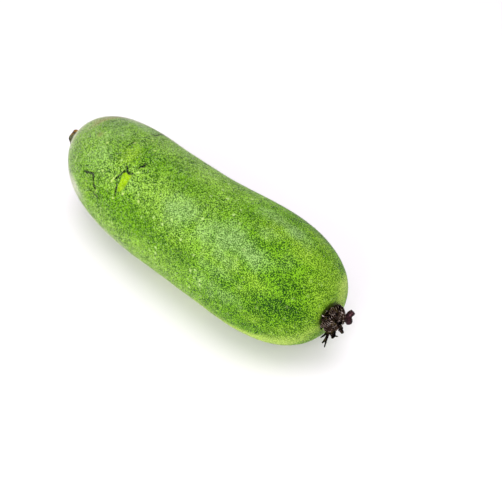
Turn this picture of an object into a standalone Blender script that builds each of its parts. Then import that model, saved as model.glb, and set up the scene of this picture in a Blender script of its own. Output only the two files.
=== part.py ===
"""Wax gourd: one small fruit lying on its side, with its cut stem and its dried flower.

Metres, +Z up. The fruit's long axis lies level along X, with the flower end at +X and the stem
end at -X. The origin is on the ground, below the middle of the whole object's box.
"""

import math
import random
from collections import namedtuple

import bmesh
import bpy
from mathutils import Vector

MM = 0.001
UP = Vector((0, 0, 1))
GAP = 0.3 * MM  # kept between neighbouring pieces
SHARP_ANGLE = math.radians(38)  # edges bent more than this are shaded sharp

# Fruit. Shares are of the length, counted from the flower end.
LENGTH = 229 * MM
GREATEST_RADIUS = 36 * MM
WAIST_DEPTH, WAIST_AT, WAIST_REACH = 0.017, 0.415, 0.105
BEND, BEND_SKEW = 8.8 * MM, 1.46
RESTING_SPOT_DEPTH = 0.8 * MM
FRUIT_RINGS, FRUIT_SIDES = 48, 60

# Each end rounds off over its own length, and ends in a flat scar.
End = namedtuple("End", "length fall bluntness scar_radius")
FLOWER_END = End(63 * MM, 2.7, 2.5, 4.6 * MM)
STEM_END = End(77 * MM, 2.25, 2.5, 5.2 * MM)

# Stem: a ridged stub that leans down and to -Y, bowed a little out of the fruit
STEM_REACH = Vector((-19, -5, -5.2)) * MM
STEM_BOW = 1.2 * MM
STEM_FLARE_RADIUS, STEM_NECK_RADIUS, STEM_CUT_RADIUS = 7.0 * MM, 5.0 * MM, 5.5 * MM
STEM_RIDGES, STEM_RIDGE_HEIGHT = 5, 0.09
STEM_DISH_DEPTH, STEM_DISH_SHARE = 0.8 * MM, 0.55
STEM_RINGS, STEM_SIDES = 14, 45

# Dried flower. Points in its own axes are in millimetres: out of the scar, then along Y and Z.
# Points round it are given by how far out they are, their distance from its axis and an angle.
FLOWER_SEED = 11
WAD_LENGTH, WAD_RADIUS, WAD_TAPER = 6.4, 5.4, 0.75
WAD_RINGS, WAD_SIDES = 9, 20
WAD_LUMPS = ((3, 0.07), (5, 0.05))
BLADE_THICKNESS = 0.9 * MM
FOLD_DEPTH, DEEP_FOLD_WIDTH = 0.8 * MM, 6 * MM
PETALS, PETAL_RINGS, PETAL_COLUMNS = 5, 10, 7
PETAL_TURN, PETAL_SWAY = 0.35, (0.1, 0.3)
PETAL_FOOT, PETAL_BULGE, PETAL_TOP = (1.5, 3.2), (6.4, 7.0), (6.0, 7.2)
PETAL_WIDTHS = (4.6, 7.6, 7.6, 5.3, 2.3)
SEPALS, SEPAL_RINGS, SEPAL_COLUMNS = 5, 6, 3
SEPAL_TURN, SEPAL_REACH = 0.3, (8.0, 9.2)
SEPAL_WIDTHS = (2.6, 2.6, 0.8)
CURLED_TIPS = (
    ((3.5, -1.5, -3.5), (5.2, -2.4, -7.0), (6.6, -3.4, -9.2), (7.6, -3.2, -8.0)),
    ((4.5, 1.0, -3.0), (6.8, 1.4, -5.6), (8.2, 1.8, -7.9)),
)
CURLED_TIP_WIDTHS, CURLED_TIP_RINGS, CURLED_TIP_COLUMNS = (3.0, 3.0, 1.5), 7, 3
FIBRES = (
    ((2.0, -2.0, -4.0), (2.6, -4.4, -7.4), (1.6, -8.0, -9.8)),
    ((3.0, -1.6, -4.0), (3.4, -4.6, -8.6), (3.0, -7.0, -14.0)),
    ((3.1, -3.6, -7.2), (3.6, -6.2, -10.4), (3.4, -8.6, -12.0)),
)
FIBRE_RADII, FIBRE_RINGS, FIBRE_SIDES = (0.6, 0.6, 0.32), 6, 6

# Style: a short column in a hole in the dried petals, with thick lobes at its top
STYLE_COLUMN, STYLE_RADII = ((4.6, 2.6, 0.6), (7.6, 4.2, 1.2)), (1.2, 1.2)
STYLE_LOBES = (
    ((7.1, 3.9, 1.1), (8.4, 6.2, 3.0), (9.5, 8.6, 5.0)),
    ((7.2, 4.3, 1.6), (8.4, 4.6, 0.3), (9.6, 4.9, -1.0)),
    ((7.2, 4.5, 1.1), (8.1, 3.1, 1.6), (8.9, 1.8, 2.1)),
)
STYLE_LOBE_RADII = ((0.9, 1.2, 1.0), (1.0, 1.8, 1.0), (0.9, 1.3, 0.7))
STYLE_RINGS, STYLE_SIDES = 7, 10
STYLE_CLEARANCE = 0.42 * MM  # the gap, and what the cutter's facets take off it

# Colours (linear red, green, blue), roughness
SKIN = ((0.16, 0.34, 0.03), 0.5)
CORK = ((0.26, 0.15, 0.06), 0.85)
DRIED_PETAL = ((0.025, 0.014, 0.012), 0.8)
DRIED_STIGMA = ((0.06, 0.018, 0.02), 0.6)


def clear_scene():
    for obj in list(bpy.data.objects):
        bpy.data.objects.remove(obj, do_unlink=True)


def material(name, finish):
    colour, roughness = finish
    made = bpy.data.materials.new(name)
    made.use_nodes = True
    shader = made.node_tree.nodes["Principled BSDF"]
    shader.inputs["Base Color"].default_value = (*colour, 1)
    shader.inputs["Roughness"].default_value = roughness
    shader.inputs["Metallic"].default_value = 0
    return made


def shade(mesh):
    mesh.shade_smooth()
    mesh.set_sharp_from_angle(angle=SHARP_ANGLE)


def link(name, bm, surface):
    """Makes an object of the mesh, with its normals facing out."""
    bmesh.ops.recalc_face_normals(bm, faces=bm.faces)
    mesh = bpy.data.meshes.new(name)
    bm.to_mesh(mesh)
    bm.free()
    shade(mesh)
    mesh.materials.append(surface)
    obj = bpy.data.objects.new(name, mesh)
    bpy.context.scene.collection.objects.link(obj)
    return obj


def loft(rings, fan_ends=False):
    """A closed mesh through rings of equally many points. Each end gets a face, or a fan of them."""
    bm = bmesh.new()
    loops = [[bm.verts.new(point) for point in ring] for ring in rings]
    for first, second in zip(loops, loops[1:]):
        for i in range(len(first)):
            j = (i + 1) % len(first)
            bm.faces.new((first[i], first[j], second[j], second[i]))
    ends = [bm.faces.new(reversed(loops[0])), bm.faces.new(loops[-1])]
    if fan_ends:
        bmesh.ops.poke(bm, faces=ends)
    bmesh.ops.triangulate(bm, faces=bm.faces, quad_method="SHORT_EDGE")
    return bm


def smooth_path(points, count):
    """Points along a smooth curve through the given ones, each with its direction."""
    points = [Vector(p) for p in points]
    ends = [2 * points[0] - points[1], *points, 2 * points[-1] - points[-2]]
    spans = len(points) - 1
    path = []
    for i in range(count):
        place = spans * i / (count - 1)
        k = min(int(place), spans - 1)
        t = place - k
        a, b, c, d = ends[k : k + 4]
        position = (
            2 * b + (c - a) * t + (2 * a - 5 * b + 4 * c - d) * t**2 + (3 * b - a - 3 * c + d) * t**3
        ) / 2
        heading = (c - a) + 2 * (2 * a - 5 * b + 4 * c - d) * t + 3 * (3 * b - a - 3 * c + d) * t**2
        path.append((position, heading.normalized()))
    return path


def along(values, share):
    """The value at this share of the way through an evenly spread list."""
    place = (len(values) - 1) * share
    k = min(int(place), len(values) - 2)
    return values[k] + (values[k + 1] - values[k]) * (place - k)


def tube(path, radii, sides, ridge=lambda angle: 1.0):
    """Rings of a tube along a path with headings. Radii are spread evenly along it."""
    rings = []
    for i, (centre, heading) in enumerate(path):
        across = heading.cross(UP).normalized()
        upright = across.cross(heading)
        radius = along(radii, i / (len(path) - 1))
        ring = []
        for j in range(sides):
            angle = 2 * math.pi * j / sides
            reach = radius * ridge(angle)
            ring.append(centre + reach * (math.cos(angle) * across + math.sin(angle) * upright))
        rings.append(ring)
    return rings


def end_share(distance, end):
    """The radius at this distance from an end, as a share of the greatest."""
    t = min(max(distance / end.length, 0), 1)
    return (1 - (1 - t) ** end.fall) ** (1 / end.bluntness)


def scar_distance(end):
    """How far from the end the fruit is as wide as its scar: end_share the other way round."""
    share = end.scar_radius / GREATEST_RADIUS
    return end.length * (1 - (1 - share**end.bluntness) ** (1 / end.fall))


def fruit_radius(u):
    waist = 1 - WAIST_DEPTH * math.exp(-(((u - WAIST_AT) / WAIST_REACH) ** 2))
    ends = end_share(u * LENGTH, FLOWER_END) * end_share((1 - u) * LENGTH, STEM_END)
    return GREATEST_RADIUS * ends * waist


def fruit_centre(u):
    sideways = -BEND * math.sin(math.pi * u**BEND_SKEW)
    return Vector(((0.5 - u) * LENGTH, sideways, GREATEST_RADIUS - RESTING_SPOT_DEPTH))


def fruit_heading(u):
    """The direction of the centre line, from the flower end to the stem end."""
    turn = math.pi * BEND_SKEW * u ** (BEND_SKEW - 1) * math.cos(math.pi * u**BEND_SKEW)
    return Vector((-LENGTH, -BEND * turn, 0)).normalized()


def fruit_ring(u):
    side = fruit_heading(u).cross(UP)
    ring = []
    for j in range(FRUIT_SIDES):
        angle = 2 * math.pi * j / FRUIT_SIDES
        direction = math.cos(angle) * side + math.sin(angle) * UP
        ring.append(fruit_centre(u) + fruit_radius(u) * direction)
    return ring


def make_fruit(surface):
    """The fruit, cut level by the ground so that it rests on one long flat strip."""
    first = scar_distance(FLOWER_END) / LENGTH
    last = 1 - scar_distance(STEM_END) / LENGTH
    shares = [(1 - math.cos(math.pi * i / (FRUIT_RINGS - 1))) / 2 for i in range(FRUIT_RINGS)]
    bm = loft([fruit_ring(first + (last - first) * share) for share in shares])
    everything = [*bm.verts, *bm.edges, *bm.faces]
    cut = bmesh.ops.bisect_plane(
        bm, geom=everything, dist=1e-6, plane_co=(0, 0, 0), plane_no=(0, 0, 1), clear_inner=True
    )
    rim = [item for item in cut["geom_cut"] if isinstance(item, bmesh.types.BMEdge)]
    bmesh.ops.contextual_create(bm, geom=rim)
    return link("fruit", bm, surface)


def stem_ridge(angle):
    return 1 + STEM_RIDGE_HEIGHT * math.cos(STEM_RIDGES * angle)


def make_stem(surface):
    """The stub from the stem scar, flared at the fruit, ridged, and dished where it was cut.

    Its first ring faces along the fruit, and each ring after it turns a little to the cut's heading.
    """
    heading = fruit_heading(1.0)
    base = fruit_centre(1 - scar_distance(STEM_END) / LENGTH) + GAP * heading
    tip = fruit_centre(1.0) + STEM_REACH
    middle = base.lerp(tip, 0.5) + STEM_BOW * heading
    line = smooth_path((base, middle, tip), STEM_RINGS)
    cut_heading = line[-1][1]
    path = []
    for i, (centre, _) in enumerate(line):
        turned = heading.lerp(cut_heading, i / (STEM_RINGS - 1)).normalized()
        path.append((centre, turned))
    radii = (STEM_FLARE_RADIUS, STEM_NECK_RADIUS, STEM_NECK_RADIUS, STEM_CUT_RADIUS)
    rings = tube(path, radii, STEM_SIDES, stem_ridge)
    inward = -cut_heading
    rings.append([tip.lerp(point, STEM_DISH_SHARE) + inward * STEM_DISH_DEPTH for point in rings[-1]])
    return link("stem", loft(rings, fan_ends=True), surface)


def flower_points(places):
    """Points in the flower's own axes, in millimetres, as points in the part's."""
    scar = fruit_centre(scar_distance(FLOWER_END) / LENGTH)
    return [scar + Vector(place) * MM for place in places]


def polar(out, radius, angle):
    return (out, radius * math.cos(angle), radius * math.sin(angle))


def blade_rings(places, widths, count, columns):
    """Rings round a thin folded strip, whose width runs round the flower's axis."""
    middle = flower_points([(0, 0, 0)])[0]
    rings = []
    for i, (centre, heading) in enumerate(smooth_path(flower_points(places), count)):
        across = Vector((1, 0, 0)).cross(centre - middle)
        across = (across - across.dot(heading) * heading).normalized()
        normal = across.cross(heading)
        width = along(widths, i / (count - 1)) * MM
        front, back = [], []
        for j in range(columns):
            fold = FOLD_DEPTH * (j % 2) * min(1, width / DEEP_FOLD_WIDTH)
            point = centre + across * width * (j / (columns - 1) - 0.5) + normal * fold
            front.append(point + normal * BLADE_THICKNESS / 2)
            back.append(point - normal * BLADE_THICKNESS / 2)
        rings.append(front + back[::-1])
    return rings


def petal_rings(index, draw):
    """A petal that rises from the wad's foot, bulges, and folds in over the middle."""
    angle = 2 * math.pi * index / PETALS + PETAL_TURN
    sway, bulge, top = draw.uniform(*PETAL_SWAY), draw.uniform(*PETAL_BULGE), draw.uniform(*PETAL_TOP)
    path = (
        polar(*PETAL_FOOT, angle),
        polar(2.3, bulge, angle + sway * 0.3),
        polar(4.6, bulge - 0.8, angle + sway),
        polar(top, 3.6, angle + sway * 1.5),
        polar(top, 2.0, angle + sway * 2),
    )
    return blade_rings(path, PETAL_WIDTHS, PETAL_RINGS, PETAL_COLUMNS)


def sepal_rings(index, draw):
    """A pointed lobe that spreads over the skin from the foot of the petals."""
    angle = 2 * math.pi * (index + 0.5) / SEPALS + SEPAL_TURN
    reach = draw.uniform(*SEPAL_REACH)
    path = (polar(1.6, 4.0, angle), polar(1.3, 6.8, angle + 0.05), polar(1.8, reach, angle + 0.15))
    return blade_rings(path, SEPAL_WIDTHS, SEPAL_RINGS, SEPAL_COLUMNS)


def wad_rings():
    """The middle of the dried flower: a lumpy dome that the petals are sunk in."""
    first = GAP / MM
    rings = []
    for i in range(WAD_RINGS):
        share = i / (WAD_RINGS - 1)
        ring = []
        for j in range(WAD_SIDES):
            angle = 2 * math.pi * j / WAD_SIDES
            lump = 1 + sum(height * math.sin(count * angle) for count, height in WAD_LUMPS)
            radius = WAD_RADIUS * (1 - WAD_TAPER * share**2) * lump
            ring.append(polar(first + (WAD_LENGTH - first) * share, radius, angle))
        rings.append(flower_points(ring))
    return rings


def islands(bm):
    """The mesh's faces, in groups that share edges. An edge of four faces only touches."""
    left = set(bm.faces)
    groups = []
    while left:
        group, edge = set(), [left.pop()]
        while edge:
            face = edge.pop()
            group.add(face)
            whole = [side for side in face.edges if len(side.link_faces) == 2]
            near = {other for side in whole for other in side.link_faces} & left
            left -= near
            edge.extend(near)
        groups.append(group)
    return groups


def keep_outer_skin(mesh):
    """Fills what the union sealed in and drops loose scraps: only the largest skin stays."""
    bm = bmesh.new()
    bm.from_mesh(mesh)
    groups = sorted(islands(bm), key=lambda group: sum(face.calc_area() for face in group))
    for group in groups[:-1]:
        bmesh.ops.delete(bm, geom=list(group), context="FACES")
    bm.to_mesh(mesh)
    bm.free()


def apply_boolean(body, modifier):
    graph = bpy.context.evaluated_depsgraph_get()
    result = bpy.data.meshes.new_from_object(body.evaluated_get(graph))
    body.modifiers.remove(modifier)
    keep_outer_skin(result)
    shade(result)
    body.data = result


def union(base, others):
    """Joins the others to the base with one Boolean, applied, and removes them."""
    helpers = bpy.data.collections.new(base.name + "_parts")
    bpy.context.scene.collection.children.link(helpers)
    for obj in others:
        bpy.context.scene.collection.objects.unlink(obj)
        helpers.objects.link(obj)
    join = base.modifiers.new("join", "BOOLEAN")
    join.operation = "UNION"
    join.operand_type = "COLLECTION"
    join.collection = helpers
    join.solver = "EXACT"
    apply_boolean(base, join)
    for obj in others:
        bpy.data.objects.remove(obj, do_unlink=True)
    bpy.data.collections.remove(helpers)


def make_flower(surface):
    """Petals, sepals, two curled tips and loose fibres, all in one body."""
    draw = random.Random(FLOWER_SEED)
    parts = [petal_rings(i, draw) for i in range(PETALS)]
    parts += [sepal_rings(i, draw) for i in range(SEPALS)]
    for path in CURLED_TIPS:
        parts.append(blade_rings(path, CURLED_TIP_WIDTHS, CURLED_TIP_RINGS, CURLED_TIP_COLUMNS))
    for path in FIBRES:
        radii = [radius * MM for radius in FIBRE_RADII]
        parts.append(tube(smooth_path(flower_points(path), FIBRE_RINGS), radii, FIBRE_SIDES))
    wad = link("dried_flower", loft(wad_rings()), surface)
    union(wad, [link(f"flower_part_{i}", loft(rings), surface) for i, rings in enumerate(parts)])
    return wad


def make_style(surface):
    """The style's column and its stigma lobes in one body."""
    parts = []
    for path, radii in zip((STYLE_COLUMN, *STYLE_LOBES), (STYLE_RADII, *STYLE_LOBE_RADII)):
        radii = [radius * MM for radius in radii]
        rings = tube(smooth_path(flower_points(path), STYLE_RINGS), radii, STYLE_SIDES)
        parts.append(link("dried_style", loft(rings), surface))
    style, *lobes = parts
    union(style, lobes)
    return style


def cut_clearance(body, other):
    """Takes the other's shape, grown by the clearance all round, out of the body."""
    bm = bmesh.new()
    bm.from_mesh(other.data)
    bm.normal_update()
    for vertex in bm.verts:
        vertex.co += vertex.normal * STYLE_CLEARANCE
    cutter = link("cutter", bm, other.data.materials[0])
    cut = body.modifiers.new("clearance", "BOOLEAN")
    cut.operation = "DIFFERENCE"
    cut.object = cutter
    cut.solver = "MANIFOLD"  # EXACT removes the whole body here
    apply_boolean(body, cut)
    bpy.data.objects.remove(cutter, do_unlink=True)


def centre_on_ground(objects):
    """Moves everything so that the box of all the pieces is centred over the origin."""
    points = [vertex.co for obj in objects for vertex in obj.data.vertices]
    middle = Vector((0, 0, 0))
    for i in (0, 1):
        middle[i] = (min(p[i] for p in points) + max(p[i] for p in points)) / 2
    for obj in objects:
        for vertex in obj.data.vertices:
            vertex.co -= middle


def main():
    clear_scene()
    fruit = make_fruit(material("skin", SKIN))
    stem = make_stem(material("cork", CORK))
    flower = make_flower(material("dried_petal", DRIED_PETAL))
    style = make_style(material("dried_stigma", DRIED_STIGMA))
    cut_clearance(flower, style)
    centre_on_ground([fruit, stem, flower, style])


main()
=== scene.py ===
"""Wax gourd lying on its side: downy mottled skin, a corky cut stem and a dried flower.

Metres, +Z up. The fruit's long axis lies along X, with the flower end at +X and the stem end
at -X. Places on the skin are given as a share of the length, counted from the flower end, and
an angle round the fruit in degrees, where 90 is its top and 180 the side at -Y.
"""

import math
import random
from collections import namedtuple

import bpy
import numpy as np
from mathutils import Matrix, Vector, noise


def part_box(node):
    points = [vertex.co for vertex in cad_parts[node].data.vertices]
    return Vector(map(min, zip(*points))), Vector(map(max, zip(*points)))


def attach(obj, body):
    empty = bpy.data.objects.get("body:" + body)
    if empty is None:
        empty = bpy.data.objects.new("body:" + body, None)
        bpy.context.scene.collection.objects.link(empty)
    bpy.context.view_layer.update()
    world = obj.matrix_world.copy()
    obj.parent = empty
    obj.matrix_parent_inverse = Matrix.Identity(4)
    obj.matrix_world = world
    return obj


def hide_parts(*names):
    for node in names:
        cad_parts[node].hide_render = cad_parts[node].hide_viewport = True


MM = 0.001
UP = np.array([0.0, 0.0, 1.0])

# Fruit, as in the CAD model
LENGTH = 229 * MM
GREATEST_RADIUS = 36 * MM
WAIST_DEPTH, WAIST_AT, WAIST_REACH = 0.017, 0.415, 0.105
BEND, BEND_SKEW = 8.8 * MM, 1.46
RESTING_SPOT_DEPTH = 0.8 * MM
End = namedtuple("End", "length fall bluntness scar_radius")
FLOWER_END = End(63 * MM, 2.7, 2.5, 4.6 * MM)
STEM_END = End(77 * MM, 2.25, 2.5, 5.2 * MM)

# Skin mesh: finer over the stretch that carries the scrape and the scratches
SKIN_RINGS, SKIN_SIDES = 310, 290
MARKED_SHARES, MARKED_ANGLES, MARKED_FADE = (0.56, 0.765), (98, 166), 0.06
MARKED_CROWDING = 2.4
LUMPS, LUMP_SEED = ((0.34, 27), (0.11, 9), (0.035, 3)), 7.3  # height and size, mm
PUCKERS, PUCKER_HEIGHT, PUCKER_REACH = 9, 0.16, 11  # height and reach in mm
PUCKER_SINK, PUCKER_SMOOTHING = 0.4, 0.5  # how deep they lie, and how much they flatten the lumps

# Skin colouring: (share, angle, half length, half width, strength), sizes in mm
BLOOM_PATCHES = (
    (0.17, 124, 11, 6, 0.8),
    (0.23, 138, 12, 6, 0.6),
    (0.25, 122, 17, 8, 0.8),
    (0.295, 126, 13, 8, 0.55),
    (0.17, 100, 9, 6, 0.4),
    (0.178, 150, 10, 6, 0.3),
    (0.19, 167, 11, 6, 0.5),
    (0.245, 168, 14, 7, 0.5),
    (0.24, 150, 12, 6, 0.5),
    (0.104, 111, 8, 6, 0.3),
    (0.57, 131, 12, 7, 0.35),
    (0.14, 80, 10, 5, 0.8),
    (0.21, 80, 14, 6, 0.6),
    (0.33, 66, 30, 6, 0.2),
    (0.40, 125, 11, 8, 0.8),
    (0.53, 68, 36, 8, 0.3),
    (0.62, 92, 22, 14, 0.2),
    (0.72, 128, 14, 12, 0.5),
    (0.755, 66, 16, 6, 0.7),
    (0.77, 98, 22, 18, 0.4),
    (0.34, 172, 16, 8, 0.25),
    (0.42, 300, 40, 16, 0.4),
    (0.70, 10, 30, 14, 0.5),
)
DARK_PATCHES = (
    (0.066, 153, 9, 4, 1.0),
    (0.073, 129, 9, 5, 0.6),
    (0.107, 157, 9, 7, 0.55),
    (0.046, 132, 6, 6, 0.45),
    (0.20, 99, 9, 6, 0.35),
    (0.26, 107, 9, 6, 0.3),
    (0.247, 94, 10, 5, 0.5),
    (0.328, 159, 14, 7, 0.5),
    (0.425, 103, 20, 9, 0.4),
    (0.489, 163, 14, 8, 0.25),
    (0.526, 88, 14, 6, 0.4),
    (0.567, 144, 11, 8, 0.4),
    (0.574, 102, 12, 8, 0.3),
    (0.70, 112, 13, 8, 0.5),
    (0.65, 139, 10, 6, 0.25),
    (0.314, 142, 9, 6, 0.2),
    (0.273, 163, 9, 6, 0.2),
    (0.754, 101, 14, 14, 0.3),
    # painted shade on the top near the stem end, where less light falls
    (0.81, 92, 12, 12, 0.5),
    (0.11, 190, 14, 6, 0.4),
    (0.47, 189, 13, 5, 0.35),
    (0.05, 118, 9, 8, 0.3),
    # painted shade on the far upper side near the flower end, where a neighbouring fruit blocks
    # light
    (0.16, 40, 16, 9, 0.6),
    (0.60, 350, 24, 9, 0.6),
)
PALE_PATCHES = (
    (0.130, 142, 9, 5, 0.6),
    (0.37, 152, 7, 5, 0.4),
    (0.11, 176, 9, 5, 0.4),
    (0.09, 58, 15, 7, 0.5),
    (0.104, 88, 11, 7, 0.7),
    (0.112, 108, 8, 5, 0.3),
    (0.20, 138, 9, 6, 0.62),
    (0.245, 142, 10, 6, 0.55),
    # painted light that lifts the shade beside the dried flower
    (0.012, 87, 11, 18, 0.6),
    # painted light, reflected yellow-green from a neighbouring fruit
    (0.06, 80, 8, 8, 0.5),
    (0.042, 185, 12, 7, 0.5),
    (0.65, 108, 8, 7, 0.9),
    # painted bounce light along the lower edge
    (0.45, 202, 110, 7, 0.2),
    (0.17, 90, 12, 10, 0.6),
    (0.145, 152, 9, 7, 0.4),
    (0.73, 165, 10, 10, 0.4),
)
# The yellowish underside where the fruit lay while it grew, and painted bounce light from the floor
# along the lower edge
GROUND_SPOT_AND_BOUNCE_LIGHT_PATCHES = (
    # these three, along the lower edge, are painted bounce light
    (0.075, 212, 15, 7, 0.95),
    (0.14, 210, 20, 6, 0.9),
    (0.24, 208, 24, 6, 0.6),
    (0.012, 34, 5, 7, 0.7),
    (0.45, 268, 80, 24, 0.9),
)
# Where the wax is rubbed off and the green is strongest
CLEAR_PATCHES = (
    (0.46, 97, 18, 7, 0.6),
    (0.46, 158, 20, 9, 0.65),
    (0.55, 98, 12, 8, 0.7),
    (0.55, 157, 28, 9, 1.0),
    (0.62, 99, 12, 8, 0.9),
    (0.64, 158, 14, 8, 0.75),
    (0.70, 158, 14, 9, 0.65),
    (0.745, 150, 8, 7, 0.55),
)
TAN_PATCHES = (
    (0.872, 84, 3, 15, 1.0),
    (0.795, 110, 3, 2.5, 0.5),
    (0.90, 92, 4, 7, 0.7),
    (0.93, 130, 7, 10, 0.5),
    (0.92, 40, 6, 9, 0.5),
)
# White wax, and painted rim sheen: the patches along the edges where the skin turns away stand for
# the pale sheen of the down there
FROST_AND_RIM_SHEEN_PATCHES = (
    (0.82, 179, 14, 6, 0.9),
    (0.70, 203, 46, 7, 0.45),
    (0.50, 214, 30, 6, 0.3),
    (0.84, 58, 16, 9, 0.55),
    (0.70, 43, 36, 6, 0.42),
    (0.86, 290, 20, 16, 0.4),
    (0.84, 340, 18, 12, 0.4),
)
FROST_REACH = (6, 46)  # mm from the stem's foot, where the white wax is full and where it ends
# How veiled by fine wax the skin is, from 0 to 1, as (share, strength)
VEIL = ((0.12, 0.0), (0.30, 0.45), (0.45, 0.85), (0.62, 0.8), (0.75, 0.6), (0.9, 0.7))
SCAR_AND_SHADE_REACH = (6.5, 9.0)  # mm from the flower's foot, where the dark ring, partly scar and partly painted contact shade, is full and where it ends
PALE_RING, PALE_RING_REACH = 0.6, 11  # strength, and mm of paler skin round the dried flower, partly its own paler green and partly painted light that lifts the shade the petals cast

# Marks on the skin, as places or lines of (share, angle)
SCRAPE = (
    (0.619, 123.5), (0.604, 123.2), (0.589, 122.0), (0.588, 126.0), (0.586, 132.2), (0.588, 138.0),
    (0.595, 142.0), (0.606, 140.5), (0.610, 135.8), (0.613, 130.0), (0.618, 126.3),
)
SCRATCHES = (
    ((0.753, 149.5), (0.731, 146.8), (0.708, 143.8)),
    ((0.709, 144.8), (0.701, 149.2), (0.696, 152.2), (0.682, 155.5)),
    ((0.628, 134.2), (0.623, 129.0), (0.619, 122.8)),
    ((0.625, 118.5), (0.613, 121.0), (0.600, 122.8), (0.591, 120.5)),
    ((0.589, 113.0), (0.589, 110.2), (0.586, 109.0), (0.586, 106.2)),
    ((0.592, 111.5), (0.583, 109.5), (0.584, 106.0)),
    ((0.617, 136.0), (0.610, 140.2), (0.605, 146.5)),
    ((0.703, 70.5), (0.689, 67.8), (0.728, 47.2)),
)
FAINT_SCRATCHES = (
    ((0.715, 160.8), (0.689, 159.8), (0.657, 161.2)),
    ((0.683, 103.0), (0.684, 96.2), (0.679, 90.8), (0.660, 83.8)),
)
PALE_SPOTS = (
    (0.679, 155.8), (0.608, 150.2), (0.582, 140.8), (0.525, 138.2), (0.745, 112.0), (0.679, 94.2),
    (0.662, 78.2), (0.612, 87.8), (0.636, 137.8), (0.683, 135.8), (0.635, 134.8),
)
FAINTNESS = 0.3  # mm that a faint scratch is narrower by
SCRAPE_DEPTH, SCRAPE_STEEPNESS, MARK_REACH = 0.45, 0.7, 4.0  # depth and reach in mm
SCRATCH_DEPTH, SCRATCH_WIDTH = 0.3, 0.42  # mm
# Raised lips beside the marks: height, place and width in mm, the scrape's outside its edge
SCRAPE_LIP, SCRATCH_LIP = (0.16, -0.35, 0.45), (0.10, 0.9, 0.4)
PATCH_SPREAD = 1.5  # how softly the patches of colour end

# Down: short pale hairs all over the skin
HAIR_LENGTHS, HAIR_RADIUS, HAIR_ROOT = (0.4, 1.15), 0.028, 0.05  # mm
HAIR_SPREAD, HAIR_LEAN = 0.55, 0.25  # how unruly they are, and how far they lean to the flower
END_HAIR_WEIGHT = 2 * MM  # added to the radius, so that the blunt ends are not left bare
BARE_HEIGHT = 0.6 * MM  # no hair grows lower than this, where the fruit bears on the ground
Down = namedtuple("Down", "name seed hairs dull bright density")  # density at shares of the length
DOWNS = (
    Down(
        "down", 5, 49000, (0.46, 0.57, 0.26), (0.68, 0.75, 0.50),
        ((0.0, 0.2), (0.2, 0.45), (0.5, 0.9), (0.8, 1.0), (1.0, 1.8)),
    ),
    Down(
        "stem_end_down", 6, 49000, (0.62, 0.61, 0.53), (0.83, 0.81, 0.76),
        ((0.0, 0.03), (0.35, 0.15), (0.6, 0.3), (0.75, 0.6), (0.84, 1.5), (0.95, 3.4), (1.0, 5.0)),
    ),
)

# Stem
STEM_REACH = np.array([-19.1, -6.2, -5.4]) * MM
STEM_BOW, STEM_SINK = 1.2 * MM, 0.4 * MM
STEM_RADII = (7.2, 5.1, 5.3, 6.0)  # mm, from the fruit to the cut
STEM_FLARE, STEM_FLARE_REACH = 0.12, 0.03  # shares of the radius and of the length
# Ridges along it, with their heights as shares of the radius
STEM_RIDGES, STEM_RIDGE_HEIGHT = 5, 0.09
STEM_FINE_RIDGES = ((0.018, 23, 1.0), (0.012, 37, 0.0))  # height, count and phase
STEM_RINGS, STEM_SIDES, STEM_CUT_RINGS = 70, 110, 14
STEM_LUMP, STEM_LUMP_SIZE = 0.35 * MM, 2.6 * MM
STEM_GRAIN, STEM_GRAIN_SIZE = 0.05, 0.9 * MM  # the height as a share of the radius
STEM_CUT_SLANT, STEM_DISH_DEPTH, STEM_DISH_SLOPE = 1.3, 0.8, 2.2  # slant and depth in mm
STEM_RIPPLE, STEM_RIPPLES = 0.12, 16  # mm, and radians from the rim to the middle of the cut
STEM_CUT_LUMP, STEM_CUT_LUMP_SIZE = 0.28, 0.8 * MM  # height in mm
STEM_EDGE_AT, STEM_EDGE_WIDTH, STEM_EDGE_CUT = 0.93, 0.07, 0.4  # where cork turns into cut pith
STEM_COLLAR_RINGS = 9.0
STEM_LUMP_SEED, STEM_GRAIN_SEED, STEM_CUT_SEED = 3.1, 9.0, 4.0
STEM_OLIVE_SIDE = np.array([0, -0.95, -0.3])  # the side where the cork is olive grey
STEM_OLIVE_REACH = 4 * MM

# Dried flower, as in the CAD model. Places are out of the scar, then along Y and Z, in mm.
FLOWER_SEED = 11
Blade = namedtuple("Blade", "widths rows columns wrinkles depth thickness curl")  # sizes in mm
WAD_LENGTH, WAD_RADIUS, WAD_TAPER, WAD_SINK = 6.4, 5.4, 0.75, 0.4
WAD_ROWS, WAD_COLUMNS = 70, 220
WAD_LUMPS = ((3, 0.07), (5, 0.05))
WAD_WRINKLES, WAD_WRINKLE_DEPTH = ((0.6, 13, 4), (0.4, 23, -6)), 0.5  # height, count and twist
WAD_GRAIN, WAD_GRAIN_SIZE, WAD_SEED = 0.3 * MM, 0.9 * MM, 2.0
WAD_SHIFT = np.array([0, -1.0, 0.5]) * MM
PETALS, PETAL_TURN, PETAL_SWAY = 5, 0.35, (0.1, 0.3)
PETAL_FOOT, PETAL_BULGE, PETAL_TOP = (1.5, 3.2), (6.4, 7.0), (6.0, 7.2)
PETAL = Blade((4.6, 7.6, 7.6, 5.3, 2.3), 64, 61, 3.4, 0.9, 0.25, -0.5)
SEPALS, SEPAL_TURN, SEPAL_REACH = 5, 0.3, (7.4, 8.4)
SEPAL = Blade((3.4, 3.8, 1.4), 36, 21, 2.5, 0.35, 0.3, 0.0)
STRANDS, STRAND_LIFT, STRAND_TWIST, STRAND_TOP = 22, (0.9, 1.04), (-0.1, 0.5), (5.6, 6.9)
STRAND = Blade((0.9, 1.8, 1.5, 0.7), 44, 11, 1.0, 0.45, 0.25, 0.25)
CURLED_TIP = (44, 25, 2.0, 0.45, 0.35, 0.7)  # as in a blade, after its widths
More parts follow.
